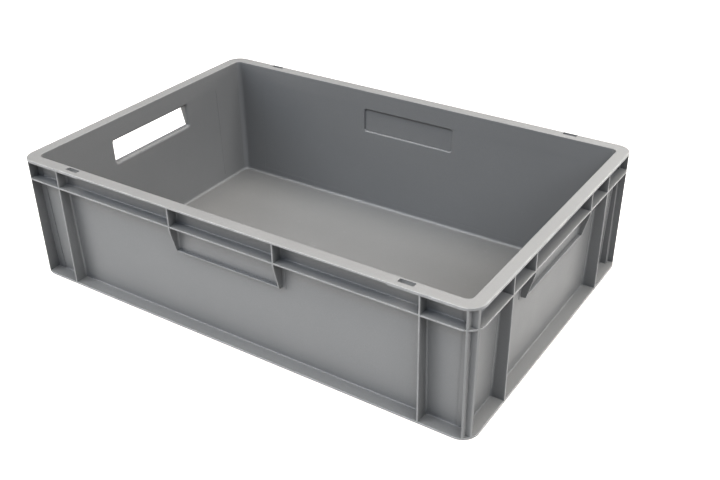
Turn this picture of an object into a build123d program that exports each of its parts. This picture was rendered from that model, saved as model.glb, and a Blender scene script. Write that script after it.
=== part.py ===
"""Stacking crate on the 600 x 400 mm pallet module, 170 mm high, with a solid floor and walls.

The real crate is one injection moulding. It is drawn here as the sections that the moulding is
designed from: floor, walls, rim, belt, stacking ledge, ribs and grips. Each section is a closed
solid of its own, and neighbouring sections meet face to face.

Frame: the origin is the middle of the footprint, on the surface that the crate stands on.
+X runs along the 600 mm side and +Z points up out of the mouth. Front is -Y and left is -X.
"""
from math import cos, radians, sin
import os

from build123d import *

os.makedirs("parts", exist_ok=True)

# Overall size
length = 600.0
width = 400.0
height = 170.0

# Walls: the inside faces lean outward from the floor up to the mouth
mouth_length = 570.0
mouth_width = 370.0
wall_draft = 5.0
wall_thickness = 2.5
inner_radius = 7.0
floor_thickness = 2.5
floor_cove = 3.5
foot_round = 1.2

# Underside of the floor: a shallow panel inside a flat border
underside_border = 24.0
underside_depth = 0.6
underside_radius = 10.0

# Shallow panel on the inside of each wall, between the ribs, the belt and the ledge
panel_depth = 0.2
panel_low = 12.6
panel_high = 145.0
panel_half_long = 243.0
panel_half_end = 131.0

# Rim, belt and stacking ledge: shelves that run all the way round
edge_draft = 1.1
rim_thickness = 2.0
rim_corner_thickness = 3.0
rim_corner_start = 205.0
rim_radius = 19.0
rim_round = 0.6
belt_middle = 145.1
belt_thickness = 2.0
ledge_bottom = 14.6
ledge_thickness = 2.3
shelf_round = 0.5
shelf_root = 1.3

# Slots in the rim that take a lid's hinges (back) and latches (front)
slot_x = 221.2
slot_length = 17.6
slot_radius = 0.8
front_slot = (187.5, 193.5)
back_slot = (194.0, 199.0)
slot_wall = 0.9
slot_depth = 5.0

# Upright ribs
rib_thickness = 2.0
rib_round = 0.4
rib_root = 2.4
rib_root_angle = 20.0
long_rib = 240.0
end_rib = 123.0
corner_rib_long = 289.0
corner_rib_end = 190.5

# Grips: a thin plate on the wall, and a pocket under the belt with two cheeks, a back and a lip
plate_proud = 0.5
plate_low = 109.0
plate_round = 0.4
back_proud = 1.8
grip_recess = 2.0
grip_low = 112.8
grip_high = 143.5
grip_corner = 3.0
closed_grip_flare = 1.8
open_grip_flare = 4.0
lip_thickness = 2.0
lip_set_back = 8.3
lip_round = 0.7
lip_corner = 1.6
cheek_straight = 3.0
pocket_root = 2.4
grip_sizes = {"long": (67.0, 70.0, 75.0), "end": (68.5, 72.5, 77.0)}

# Walls and shelves are parted from their corners along these lines
seam_x = 272.0
seam_y = 172.0

under_rim = height - rim_thickness
belt_bottom = belt_middle - belt_thickness / 2
rim_skirt_bottom = height - rim_corner_thickness

# Each side's own plane: x along the wall, y straight out through it
sides = {
    "front": Plane(origin=(0, 0, 0), x_dir=(-1, 0, 0), z_dir=(0, 0, 1)),
    "back": Plane(origin=(0, 0, 0), x_dir=(1, 0, 0), z_dir=(0, 0, 1)),
    "left": Plane(origin=(0, 0, 0), x_dir=(0, 1, 0), z_dir=(0, 0, 1)),
    "right": Plane(origin=(0, 0, 0), x_dir=(0, -1, 0), z_dir=(0, 0, 1)),
}
kinds = {"front": "long", "back": "long", "left": "end", "right": "end"}
mouth_half = {"long": mouth_width / 2, "end": mouth_length / 2}
edge_half = {"long": width / 2, "end": length / 2}
corners = {
    "front_left": (-1, -1),
    "front_right": (1, -1),
    "back_left": (-1, 1),
    "back_right": (1, 1),
}


def wall_at(half, z):
    """Distance from the middle of the crate to the inside of a wall at height z."""
    return half - wall_draft * (height - z) / height


def edge_at(half, z):
    """Distance from the middle of the crate to the outer edge of the ribs and shelves."""
    return half - edge_draft * (height - z) / height


def leaning_block(grow, low, high, radius):
    """Solid that fills the crate out to the inside of its walls, moved outward by grow."""
    with BuildPart(mode=Mode.PRIVATE) as block:
        for z in (low, high):
            with BuildSketch(Plane.XY.offset(z)):
                long_side = 2 * (wall_at(mouth_length / 2, z) + grow)
                short_side = 2 * (wall_at(mouth_width / 2, z) + grow)
                RectangleRounded(long_side, short_side, radius)
        loft()
    return block.part


def edge_block(low, high):
    """Solid that reaches out to the outer edge of the ribs and shelves."""
    with BuildPart(mode=Mode.PRIVATE) as block:
        for z in (low, high):
            with BuildSketch(Plane.XY.offset(z)):
                long_side = 2 * edge_at(length / 2, z)
                short_side = 2 * edge_at(width / 2, z)
                RectangleRounded(long_side, short_side, rim_radius)
        loft()
    return block.part


def box_between(low, high):
    """Plain box from its lowest corner to its highest corner."""
    spans = [b - a for a, b in zip(low, high)]
    middle = [(a + b) / 2 for a, b in zip(low, high)]
    return Pos(*middle) * Box(*spans, mode=Mode.PRIVATE)


def side_box(side, half_run, near, far, low, high):
    """Box on one side of the crate: half_run each way along the wall, near to far outward."""
    middle = Location((0, (near + far) / 2, (low + high) / 2))
    block = Box(2 * half_run, far - near, high - low, mode=Mode.PRIVATE)
    return sides[side].location * middle * block


def across(side, along):
    """Plane that cuts across one side at a place along it: x outward, y up."""
    return Plane(
        origin=sides[side].from_local_coords(Vector(along, 0, 0)),
        x_dir=sides[side].y_dir,
        z_dir=sides[side].x_dir,
    )


def side_zone(side):
    """Everything that belongs to one side, between the seams to its corners."""
    half_run = seam_x if kinds[side] == "long" else seam_y
    return side_box(side, half_run, 100, length, -1, height + 1)


def corner_zone(corner):
    """Everything beyond the seams at one corner."""
    sign_x, sign_y = corners[corner]
    block = box_between((seam_x, seam_y, -1), (length, width, height + 1))
    middle = block.center()
    return Pos((sign_x - 1) * middle.X, (sign_y - 1) * middle.Y) * block


def finish(part, name):
    """Label a finished section and write it."""
    part.label = name
    export_step(part, f"parts/{name}.step")


# Working solids. They are not sections: the sections are cut from them or fitted to them.
outer_skin = leaning_block(wall_thickness, 0, under_rim, inner_radius + wall_thickness)

with BuildPart() as inside:
    add(leaning_block(0, floor_thickness, height + 1, inner_radius))
    fillet(inside.edges().group_by(Axis.Z)[0], floor_cove)

floor_half_x = wall_at(mouth_length / 2, floor_thickness) - floor_cove
floor_half_y = wall_at(mouth_width / 2, floor_thickness) - floor_cove
with BuildPart() as floor_prism:
    with BuildSketch():
        RectangleRounded(2 * floor_half_x, 2 * floor_half_y, inner_radius - floor_cove)
    extrude(amount=floor_thickness)

with BuildPart() as tub:
    add(outer_skin)
    fillet(tub.edges().group_by(Axis.Z)[0], foot_round)
    add(inside.part, mode=Mode.SUBTRACT)
    add(floor_prism.part, mode=Mode.SUBTRACT)


def is_root(edge):
    """True for an edge where a shelf meets the outside of the walls."""
    point = edge.center()
    reach_x = wall_at(mouth_length / 2, point.Z) + wall_thickness + 0.1
    reach_y = wall_at(mouth_width / 2, point.Z) + wall_thickness + 0.1
    return abs(point.X) < reach_x and abs(point.Y) < reach_y


def shelf(low, thickness):
    """Shelf right round the crate, with rounded edges and a small fillet where it meets the wall."""
    with BuildPart(mode=Mode.PRIVATE) as ring:
        add(edge_block(low, low + thickness))
        fillet(ring.edges().group_by(Axis.Z)[0] + ring.edges().group_by(Axis.Z)[-1], shelf_round)
        add(outer_skin)
        levels = ring.edges().filter_by_position(Axis.Z, low - 0.01, low + thickness + 0.01)
        fillet(levels.filter_by(is_root), shelf_root)
        add(outer_skin, mode=Mode.SUBTRACT)
    return ring.part


belt_ring = shelf(belt_bottom, belt_thickness)
ledge_ring = shelf(ledge_bottom, ledge_thickness)

with BuildPart() as rim_ring:
    with BuildSketch(Plane.XY.offset(rim_skirt_bottom)):
        RectangleRounded(length, width, rim_radius)
    extrude(amount=rim_corner_thickness)
    add(box_between((-rim_corner_start, -width, 0), (rim_corner_start, width, under_rim)),
        mode=Mode.SUBTRACT)
    add(outer_skin, mode=Mode.SUBTRACT)
    add(inside.part, mode=Mode.SUBTRACT)
    top_edges = rim_ring.edges().group_by(Axis.Z)[-1]
    fillet(top_edges, rim_round)


# Floor
with BuildPart() as floor_panel:
    add(floor_prism.part)
    with BuildSketch():
        RectangleRounded(
            2 * (floor_half_x - underside_border),
            2 * (floor_half_y - underside_border),
            underside_radius,
        )
    extrude(amount=underside_depth, mode=Mode.SUBTRACT)
finish(floor_panel.part, "floor_panel")


def grip_cut(side, is_open):
    """Space inside a grip: a recess in the wall, or a hole right through, with a flared mouth."""
    kind = kinds[side]
    half_width = grip_sizes[kind][0]
    middle_z = (grip_low + grip_high) / 2
    flare = open_grip_flare if is_open else closed_grip_flare
    section_plane = Plane(
        origin=(0, 0, middle_z),
        x_dir=sides[side].x_dir,
        z_dir=-sides[side].y_dir,
    )
    with BuildPart(mode=Mode.PRIVATE) as bar:
        with BuildSketch(section_plane):
            RectangleRounded(2 * half_width, grip_high - grip_low, grip_corner)
        extrude(amount=-length)
        if not is_open:
            add(
                leaning_block(panel_depth + grip_recess, 90, height, inner_radius),
                mode=Mode.INTERSECT,
            )
    with BuildPart(mode=Mode.PRIVATE) as space:
        add(leaning_block(panel_depth, 90, height, inner_radius))
        add(bar.part)
        mouth = space.edges().filter_by(lambda edge: at_mouth(edge, side, half_width))
        fillet(mouth, flare)
    return space.part


def at_mouth(edge, side, half_width):
    """True for an edge of a grip's mouth, on the inside face of its wall."""
    point = sides[side].to_local_coords(edge.center())
    face = wall_at(mouth_half[kinds[side]], point.Z) + panel_depth
    level = grip_low - 0.01 < point.Z < grip_high + 0.01
    return abs(point.Y - face) < 0.05 and abs(point.X) < half_width + 0.01 and level


open_sides = ("left",)
grip_cuts = {side: grip_cut(side, side in open_sides) for side in sides}

# Walls
for side in sides:
    panel_half = panel_half_long if kinds[side] == "long" else panel_half_end
    panel_zone = side_box(side, panel_half, 100, length, panel_low, panel_high)
    panel = leaning_block(panel_depth, 0, height, inner_radius) & panel_zone
    grip_half, grip_top = grip_sizes[kinds[side]][1], grip_high + closed_grip_flare
    grip_zone = side_box(side, grip_half + open_grip_flare, 100, length, 95, grip_top)
    with BuildPart() as wall:
        add(tub.part)
        add(side_zone(side), mode=Mode.INTERSECT)
        add(panel, mode=Mode.SUBTRACT)
        add(grip_cuts[side] & grip_zone, mode=Mode.SUBTRACT)
    finish(wall.part, f"wall_{side}")

for corner in corners:
    with BuildPart() as wall_corner:
        add(tub.part)
        add(corner_zone(corner), mode=Mode.INTERSECT)
    finish(wall_corner.part, f"wall_corner_{corner}")


def slot_boss(side):
    """Pair of square-walled pockets that hang from the rim around its slots."""
    near, far = front_slot if side == "front" else back_slot
    with BuildPart(mode=Mode.PRIVATE) as boss:
        for sign in (-1, 1):
            half_length = slot_length / 2 + slot_wall
            add(
                sides[side].location
                * box_between(
                    (sign * slot_x - half_length, near - slot_wall, height - slot_depth),
                    (sign * slot_x + half_length, far + slot_wall, under_rim),
                )
            )
        add(outer_skin, mode=Mode.SUBTRACT)
    return boss.part


# Rim
for side in sides:
    with BuildPart() as rim:
        add(rim_ring.part)
        add(side_zone(side), mode=Mode.INTERSECT)
        if kinds[side] == "long":
            near, far = front_slot if side == "front" else back_slot
            add(slot_boss(side))
            with BuildSketch(sides[side].offset(height)):
                with Locations((slot_x, (near + far) / 2), (-slot_x, (near + far) / 2)):
                    RectangleRounded(slot_length, far - near, slot_radius)
            extrude(amount=-slot_depth, mode=Mode.SUBTRACT)
    finish(rim.part, f"rim_{side}")

for corner in corners:
    with BuildPart() as rim_corner:
        add(rim_ring.part)
        add(corner_zone(corner), mode=Mode.INTERSECT)
    finish(rim_corner.part, f"rim_corner_{corner}")


def shelf_section(kind, low, thickness):
    """Cross section of a shelf: rounded outer edges, and a fillet above and below at the wall."""
    wall_half = mouth_half[kind] + wall_thickness
    top = low + thickness
    foot = low - 2 * shelf_root
    head = top + 2 * shelf_root
    inner = wall_at(wall_half, foot) - shelf_root
    with BuildSketch(mode=Mode.PRIVATE) as section:
        with BuildLine():
            Polyline(
                (inner, foot),
                (wall_at(wall_half, foot), foot),
                (wall_at(wall_half, low), low),
                (edge_at(edge_half[kind], low), low),
                (edge_at(edge_half[kind], top), top),
                (wall_at(wall_half, top), top),
                (wall_at(wall_half, head), head),
                (inner, head),
                close=True,
            )
        make_face()
        levels = section.vertices().filter_by_position(Axis.Y, low - 0.01, top + 0.01)
        fillet(levels.sort_by(Axis.X)[:2], shelf_root)
        fillet(section.vertices().sort_by(Axis.X)[-2:], shelf_round)
        with BuildLine():
            Polyline(
                (inner, foot),
                (wall_at(wall_half, foot), foot),
                (wall_at(wall_half, head), head),
                (inner, head),
                close=True,
            )
        make_face(mode=Mode.SUBTRACT)
    return section.sketch


# Belt and stacking ledge
for name, ring, low, thickness in (
    ("belt", belt_ring, belt_bottom, belt_thickness),
    ("ledge", ledge_ring, ledge_bottom, ledge_thickness),
):
    for side in sides:
        half_run = seam_x if kinds[side] == "long" else seam_y
        with BuildPart() as rail:
            with BuildSketch(across(side, 0)):
                add(shelf_section(kinds[side], low, thickness))
            extrude(amount=half_run, both=True)
        finish(rail.part, f"{name}_{side}")
    for corner in corners:
        with BuildPart() as bend:
            add(ring)
            add(corner_zone(corner), mode=Mode.INTERSECT)
        finish(bend.part, f"{name}_corner_{corner}")


def rib_plan(kind, along, z):
    """Plan of a rib at height z: thin at its outer edge, with hollow flanks where it roots."""
    outer = edge_at(edge_half[kind], z)
    root = wall_at(mouth_half[kind], z) + wall_thickness
    half = rib_thickness / 2
    tip = half - rib_round
    flank = root + rib_root * cos(radians(rib_root_angle))
    middle_turn = radians(45 + rib_root_angle / 2)
    middle_reach = half + rib_root * (1 - sin(middle_turn))
    middle_height = flank - rib_root * cos(middle_turn)
    foot = half + rib_root * (1 - sin(radians(rib_root_angle)))
    with BuildSketch(mode=Mode.PRIVATE) as plan:
        with BuildLine():
            Polyline(
                (along - half, flank),
                (along - half, outer - rib_round),
                (along - tip, outer),
                (along + tip, outer),
                (along + half, outer - rib_round),
                (along + half, flank),
            )
            ThreePointArc(
                (along + half, flank),
                (along + middle_reach, middle_height),
                (along + foot, root),
            )
            Line((along + foot, root), (along - foot, root))
            ThreePointArc(
                (along - foot, root),
                (along - middle_reach, middle_height),
                (along - half, flank),
            )
        make_face()
    return plan.sketch


def upright(side, along, low, high):
    """Rib on one side of the crate, cut where the rim, belt and ledge cross it."""
    with BuildPart(mode=Mode.PRIVATE) as rib:
        for z in (low, high):
            with BuildSketch(sides[side].offset(z)):
                add(rib_plan(kinds[side], along, z))
        loft(ruled=True)
        for shelf_part in (rim_ring.part, belt_ring, ledge_ring):
            add(shelf_part, mode=Mode.SUBTRACT)
    return rib.part


# Full-height ribs, two on each side
for side in sides:
    along = long_rib if kinds[side] == "long" else end_rib
    for sign in (-1, 1):
        end = sides[side].from_local_coords(Vector(sign, 0, 0))
        if kinds[side] == "long":
            place = "right" if end.X > 0 else "left"
        else:
            place = "back" if end.Y > 0 else "front"
        with BuildPart() as rib:
            add(upright(side, sign * along, ledge_bottom + 1, height - 1))
        finish(rib.part, f"rib_{side}_{place}")


def post_plan(z):
    """Plan of the back right corner post at height z: the wall's plane runs on to two ribs."""
    wall_x = wall_at(mouth_length / 2, z) + wall_thickness
    wall_y = wall_at(mouth_width / 2, z) + wall_thickness
    start_x = wall_x - inner_radius
    start_y = wall_y - inner_radius
    edge_x = edge_at(length / 2, z)
    edge_y = edge_at(width / 2, z)
    half = rib_thickness / 2
    tip = half - rib_round
    with BuildSketch(mode=Mode.PRIVATE) as plan:
        with BuildLine():
            Polyline(
                (start_x, start_y),
                (start_x, wall_y),
                (corner_rib_long - half, wall_y),
                (corner_rib_long - half, edge_y - rib_round),
                (corner_rib_long - tip, edge_y),
                (corner_rib_long + tip, edge_y),
                (corner_rib_long + half, edge_y - rib_round),
                (corner_rib_long + half, corner_rib_end + half),
                (edge_x - rib_round, corner_rib_end + half),
                (edge_x, corner_rib_end + tip),
                (edge_x, corner_rib_end - tip),
                (edge_x - rib_round, corner_rib_end - half),
                (corner_rib_long + half, corner_rib_end - half),
                (corner_rib_long + half, wall_y - rib_thickness),
                (wall_x, wall_y - rib_thickness),
                (wall_x, start_y),
                close=True,
            )
        make_face()
    return plan.sketch


# Corner posts
with BuildPart() as corner_post:
    for z in (ledge_bottom + 1, height - 1):
        with BuildSketch(Plane.XY.offset(z)):
            add(post_plan(z))
    loft(ruled=True)
    add(edge_block(ledge_bottom, height), mode=Mode.INTERSECT)
    for neighbour in (outer_skin, inside.part, rim_ring.part, belt_ring, ledge_ring):
        add(neighbour, mode=Mode.SUBTRACT)

for corner, (sign_x, sign_y) in corners.items():
    with BuildPart() as post:
        add(corner_post.part)
        if sign_x < 0:
            mirror(about=Plane.YZ, mode=Mode.REPLACE)
        if sign_y < 0:
            mirror(about=Plane.XZ, mode=Mode.REPLACE)
    finish(post.part, f"corner_post_{corner}")

# Short ribs between the belt and the rim, above the cheeks of each grip
for side in sides:
    cheek_x = grip_sizes[kinds[side]][1]
    with BuildPart() as short_ribs:
        for sign in (-1, 1):
            add(upright(side, sign * cheek_x, belt_middle, height - 1))
    finish(short_ribs.part, f"short_ribs_{side}")


def cheek_outline(kind):
    """Side view of a cheek: full depth at the belt, drawn in to the lip at its foot."""
    lip_out = edge_half[kind] - lip_set_back
    root = wall_at(mouth_half[kind], grip_low)
    bend = belt_bottom - cheek_straight
    with BuildSketch(mode=Mode.PRIVATE) as outline:
        with BuildLine():
            Polyline(
                (root, grip_low - lip_thickness),
                (lip_out, grip_low - lip_thickness),
                (edge_at(edge_half[kind], bend), bend),
                (edge_at(edge_half[kind], belt_middle), belt_middle),
                (root, belt_middle),
                close=True,
            )
        make_face()
        lowest = outline.vertices().group_by(Axis.Y)[0].sort_by(Axis.X)[-1]
        fillet(lowest, lip_corner)
    return outline.sketch


def lip_section(kind):
    """Cross section of a grip's lip, with its outer edges rounded."""
    lip_out = edge_half[kind] - lip_set_back
    with BuildSketch(mode=Mode.PRIVATE) as section:
        with Locations((lip_out - lip_set_back / 2, grip_low - lip_thickness / 2)):
            Rectangle(lip_set_back, lip_thickness)
        fillet(section.vertices().group_by(Axis.X)[-1], lip_round)
    return section.sketch


def pocket_corners(edge, side, reach):
    """True for an upright edge inside a pocket, where its back meets a cheek."""
    point = sides[side].to_local_coords(edge.center())
    face = wall_at(mouth_half[kinds[side]], point.Z) + wall_thickness + back_proud
    level = grip_low - 0.01 < point.Z < belt_bottom
    return abs(point.Y - face) < 0.05 and reach / 2 < abs(point.X) < reach and level


# Grips
for side in sides:
    kind = kinds[side]
    cheek_x, plate_half = grip_sizes[kind][1:]
    plate_zone = side_box(side, plate_half, 100, length, 0, height)
    plate_grow = wall_thickness + plate_proud
    plate = leaning_block(plate_grow, plate_low, belt_middle, inner_radius) & plate_zone
    back_zone = side_box(side, cheek_x, 100, length, grip_low - lip_thickness, height)
    back_grow = wall_thickness + back_proud
    back = leaning_block(back_grow, plate_low, belt_middle, inner_radius) & back_zone
    with BuildPart() as grip:
        add(plate)
        face = grip.faces().sort_by(lambda f: sides[side].to_local_coords(f.center()).Y)[-1]
        fillet(face.edges().sort_by(Axis.Z)[:-1], plate_round)
        add(back)
        for sign in (-1, 1):
            with BuildSketch(across(side, sign * cheek_x)):
                add(cheek_outline(kind))
            extrude(amount=rib_thickness / 2, both=True)
        with BuildSketch(across(side, 0)):
            add(lip_section(kind))
        extrude(amount=cheek_x, both=True)
        roots = grip.edges().filter_by(lambda edge: pocket_corners(edge, side, cheek_x))
        fillet(roots, pocket_root)
        for neighbour in (outer_skin, belt_ring, grip_cuts[side]):
            add(neighbour, mode=Mode.SUBTRACT)
    finish(grip.part, f"grip_{side}")
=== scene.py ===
"""Looks of the stacking crate: moulded grey plastic, soft studio light and the camera.

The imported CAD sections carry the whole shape, so they stay, and this script gives them their
materials. Lengths are in metres, in the crate's own frame: +X along the long side, +Z up.
"""
from math import cos, radians, sin

import bpy
from mathutils import Matrix, Vector


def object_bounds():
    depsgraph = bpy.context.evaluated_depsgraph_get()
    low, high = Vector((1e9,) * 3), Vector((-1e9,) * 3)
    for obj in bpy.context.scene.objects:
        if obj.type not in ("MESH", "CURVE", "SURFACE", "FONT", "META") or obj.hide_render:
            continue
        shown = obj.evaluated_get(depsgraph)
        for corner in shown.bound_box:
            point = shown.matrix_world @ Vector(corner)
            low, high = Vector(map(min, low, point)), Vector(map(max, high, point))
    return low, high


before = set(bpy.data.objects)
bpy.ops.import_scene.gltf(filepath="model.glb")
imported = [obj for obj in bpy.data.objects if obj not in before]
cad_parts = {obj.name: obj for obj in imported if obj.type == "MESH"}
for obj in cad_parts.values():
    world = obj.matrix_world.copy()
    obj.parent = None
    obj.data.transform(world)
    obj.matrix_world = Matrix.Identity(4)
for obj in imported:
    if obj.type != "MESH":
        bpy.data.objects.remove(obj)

cad_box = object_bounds()
scene = bpy.context.scene

# Camera, as a place, the point it looks at, its lens and a slight roll
camera_place = Vector((0.60326, -0.84761, 0.66375))
camera_target = Vector((0.0697, -0.0386, 0.0923))
camera_lens = 48.87
camera_sensor = 36.0
camera_roll = radians(-0.756)

# Plastic: a neutral middle grey
plastic_grey = (0.216, 0.216, 0.216)
plastic_ior = 1.49

# Patterns of the plastic, in features per metre, and the depths of its relief
cloud_scale = 7
wave_scale = 12
sheen_scale = 16
scuff_scale = 38
wear_and_highlight_patch_scale = 60
grain_scale = 1400
wave_depth = 0.0008
grain_depth = 0.00006

# Outer planes of the crate, whose faces are lightened: partly rubbed wear where ribs and shelves
# rub on what stands beside them, partly a painted highlight on the fully lit outer faces
lightened_plane_x = max(abs(corner[0]) for corner in cad_box)
lightened_plane_y = max(abs(corner[1]) for corner in cad_box)
lightened_reach = 0.0025

# Tints of the lights
cool = (0.90, 0.985, 1.10)
slightly_cool = (0.95, 0.995, 1.05)
neutral = (1.0, 1.0, 1.0)
warm = (1.03, 1.0, 0.965)
warmer = (1.06, 1.0, 0.91)

# Studio lights: name, azimuth, elevation, spread, strength and tint
studio_lights = (
    ("overhead", 0, 85, 50, 3.25, warmer),
    ("right_high", 0, 42, 36, 2.60, neutral),
    ("back_high", 90, 42, 36, 1.54, warm),
    ("back_low", 72, 12, 30, 1.75, warm),
    ("left_high", 225, 42, 36, 1.75, slightly_cool),
    ("left_low", 216, 12, 30, 1.45, warm),
    ("front_fill", 270, 42, 36, 0.82, cool),
    ("front_right_fill", 315, 42, 36, 1.00, cool),
)

# Surroundings: brightness in the picture, and the weaker bluish light that they shed
surroundings_shown = 1.0
ambient_strength = 0.04
ambient_tint = (0.72, 0.92, 1.22)

# Stage floor: half its side, its depth below the crate, and the glow that lightens its shadow
floor_half = 30.0
floor_drop = 0.0003
floor_grey = (0.25, 0.25, 0.25)
floor_glow_tint = (1.02, 1.0, 0.97)
floor_glow = 0.95

# Contrast of the picture, as a power of the light
picture_contrast = 1.5


def aim(place, target):
    """Matrix that puts something at place, with its -Z axis towards target and its top up."""
    turn = (target - place).to_track_quat("-Z", "Y").to_matrix().to_4x4()
    return Matrix.Translation(place) @ turn


# Camera
def make_camera():
    """Camera at the viewing angle of the picture."""
    data = bpy.data.cameras.new("camera")
    data.lens = camera_lens
    data.sensor_width = camera_sensor
    data.clip_start = 0.01
    camera = bpy.data.objects.new("camera", data)
    camera.matrix_world = aim(camera_place, camera_target) @ Matrix.Rotation(camera_roll, 4, "Z")
    scene.collection.objects.link(camera)
    scene.camera = camera


# Material tools
def new_material(name):
    """Empty node material: gives the material, its node tree and its Principled shader."""
    material = bpy.data.materials.new(name)
    material.use_nodes = True
    tree = material.node_tree
    shader = tree.nodes["Principled BSDF"]
    return material, tree, shader


def node(tree, kind, values=None, **settings):
    """New node of a kind, with its settings and its unlinked input values."""
    made = tree.nodes.new(kind)
    for key, value in settings.items():
        setattr(made, key, value)
    for key, value in (values or {}).items():
        made.inputs[key].default_value = value
    return made


def noise(tree, coordinates, scale, detail=2.0, roughness=0.5):
    """Noise over the object, in features per metre."""
    values = {"Scale": scale, "Detail": detail, "Roughness": roughness}
    made = node(tree, "ShaderNodeTexNoise", values)
    tree.links.new(coordinates, made.inputs["Vector"])
    return made.outputs["Fac"]


def remap(tree, value, low, high, to_low, to_high):
    """A value from one range to another, held at both ends."""
    values = {"From Min": low, "From Max": high, "To Min": to_low, "To Max": to_high}
    made = node(tree, "ShaderNodeMapRange", values)
    tree.links.new(value, made.inputs["Value"])
    return made.outputs["Result"]


def multiply(tree, first, second):
    """Product of two values."""
    made = node(tree, "ShaderNodeMath", operation="MULTIPLY")
    tree.links.new(first, made.inputs[0])
    tree.links.new(second, made.inputs[1])
    return made.outputs["Value"]


def mix_colour(tree, factor, first, second):
    """Blend from one colour to another."""
    made = node(tree, "ShaderNodeMix", data_type="RGBA")
    tree.links.new(factor, made.inputs["Factor"])
    for socket, colour in ((made.inputs[6], first), (made.inputs[7], second)):
        if isinstance(colour, tuple):
            socket.default_value = (*colour, 1)
        else:
            tree.links.new(colour, socket)
    return made.outputs[2]


def bump(tree, height, strength, distance, normal=None):
    """Surface relief from a height, on top of an earlier relief if one is given."""
    made = node(tree, "ShaderNodeBump", {"Strength": strength, "Distance": distance})
    tree.links.new(height, made.inputs["Height"])
    if normal:
        tree.links.new(normal, made.inputs["Normal"])
    return made.outputs["Normal"]


def scaled(colour, factor):
    """Lighter or darker version of a colour."""
    return tuple(min(1.0, channel * factor) for channel in colour)


def outer_wear_and_highlight(tree, place):
    """How near a point is to the crate's outer planes: 1 on them, 0 at the set reach inside them.
    It marks the outer faces that are lightened, partly as rubbed wear and partly as a painted
    highlight.
    """
    axes = node(tree, "ShaderNodeSeparateXYZ")
    tree.links.new(place, axes.inputs["Vector"])
    nearness = []
    for axis, plane in (("X", lightened_plane_x), ("Y", lightened_plane_y)):
        reach = node(tree, "ShaderNodeMath", operation="ABSOLUTE")
        tree.links.new(axes.outputs[axis], reach.inputs[0])
        nearness.append(remap(tree, reach.outputs["Value"], plane - lightened_reach, plane, 0, 1))
    nearest = node(tree, "ShaderNodeMath", operation="MAXIMUM")
    tree.links.new(nearness[0], nearest.inputs[0])
    tree.links.new(nearness[1], nearest.inputs[1])
    return nearest.outputs["Value"]


def moulded_plastic(name, tone, scuffs, rough):
    """Moulded grey plastic: spark-eroded grain, soft flow clouds, pale scuffs, and outer faces
    lightened partly as rubbed edges and partly as a painted highlight.
    """
    material, tree, shader = new_material(name)
    place = node(tree, "ShaderNodeTexCoord").outputs["Object"]
    grey = scaled(plastic_grey, tone)

    clouds = remap(tree, noise(tree, place, cloud_scale, detail=3), 0.3, 0.7, 0, 1)
    base = mix_colour(tree, clouds, scaled(grey, 0.975), scaled(grey, 1.025))
    grain = noise(tree, place, grain_scale, detail=1)
    speckled = mix_colour(tree, remap(tree, grain, 0.35, 0.65, 0, 1), scaled(grey, 0.96), base)
    mark_noise = noise(tree, place, scuff_scale, detail=6, roughness=0.7)
    marks = remap(tree, mark_noise, 0.62, 0.75, 0, scuffs)
    scuffed = mix_colour(tree, marks, speckled, scaled(grey, 1.25))

    # Outer faces lightened in patches: partly rubbed wear, partly a painted highlight where they
    # stand fully in the light
    wear_and_highlight_patches = remap(tree, noise(tree, place, wear_and_highlight_patch_scale, detail=4), 0.4, 0.6, 0.4, 0.8)
    wear_and_highlight_mask = multiply(tree, outer_wear_and_highlight(tree, place), wear_and_highlight_patches)
    worn_and_highlighted = mix_colour(tree, wear_and_highlight_mask, scuffed, scaled(grey, 1.3))
    tree.links.new(worn_and_highlighted, shader.inputs["Base Color"])

    sheen_patches = noise(tree, place, sheen_scale, detail=4)
    sheen = remap(tree, sheen_patches, 0.3, 0.7, rough - 0.05, rough + 0.05)
    tree.links.new(sheen, shader.inputs["Roughness"])
    shader.inputs["IOR"].default_value = plastic_ior

    waves = bump(tree, noise(tree, place, wave_scale, detail=1), 0.25, wave_depth)
    relief = bump(tree, grain, 0.35, grain_depth, waves)
    tree.links.new(relief, shader.inputs["Normal"])
    return material


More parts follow.
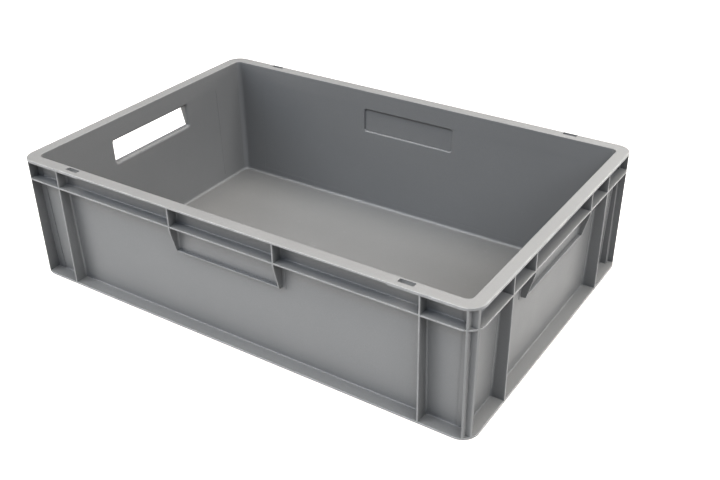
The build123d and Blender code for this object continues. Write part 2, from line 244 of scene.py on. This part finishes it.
# Light
def soft_sun(name, azimuth, elevation, spread, strength, tint):
    """Large soft light from far away. Azimuth turns from +X towards +Y, all angles in degrees."""
    data = bpy.data.lights.new(name, "SUN")
    data.energy = strength
    data.color = tint
    data.angle = radians(spread)
    level = cos(radians(elevation))
    source = Vector((
        level * cos(radians(azimuth)),
        level * sin(radians(azimuth)),
        sin(radians(elevation)),
    ))
    light = bpy.data.objects.new(name, data)
    light.matrix_world = aim(source, Vector((0, 0, 0)))
    scene.collection.objects.link(light)


def make_world():
    """Pale surroundings, brighter to the camera than as a light on the crate."""
    world = bpy.data.worlds.new("studio")
    world.use_nodes = True
    tree = world.node_tree
    background = tree.nodes["Background"]
    seen = node(tree, "ShaderNodeLightPath").outputs["Is Camera Ray"]
    tree.links.new(mix_colour(tree, seen, ambient_tint, (1, 1, 1)), background.inputs["Color"])
    strength = remap(tree, seen, 0, 1, ambient_strength, surroundings_shown)
    tree.links.new(strength, background.inputs["Strength"])
    scene.world = world


def make_floor():
    """Plain pale floor just under the crate."""
    turns = ((-1, -1), (1, -1), (1, 1), (-1, 1))
    corners = [(x * floor_half, y * floor_half, -floor_drop) for x, y in turns]
    mesh = bpy.data.meshes.new("studio_floor")
    mesh.from_pydata(corners, [], [(0, 1, 2, 3)])
    floor = bpy.data.objects.new("studio_floor", mesh)
    scene.collection.objects.link(floor)
    material, tree, shader = new_material("studio_floor")
    shader.inputs["Base Color"].default_value = (*floor_grey, 1)
    shader.inputs["Emission Color"].default_value = (*floor_glow_tint, 1)
    shader.inputs["Emission Strength"].default_value = floor_glow
    shader.inputs["Roughness"].default_value = 0.8
    shader.inputs["Specular IOR Level"].default_value = 0.1
    mesh.materials.append(material)


make_camera()
crate_plastic = moulded_plastic("crate_plastic", tone=1.0, scuffs=0.12, rough=0.47)
crate_floor = moulded_plastic("crate_floor", tone=0.90, scuffs=0.35, rough=0.42)
for name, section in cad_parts.items():
    section.data.materials.clear()
    section.data.materials.append(crate_floor if name == "floor_panel" else crate_plastic)

for name, azimuth, elevation, spread, strength, tint in studio_lights:
    soft_sun(name, azimuth, elevation, spread, strength, tint)
make_world()
make_floor()
scene.view_settings.view_transform = "Standard"
scene.view_settings.gamma = 1 / picture_contrast
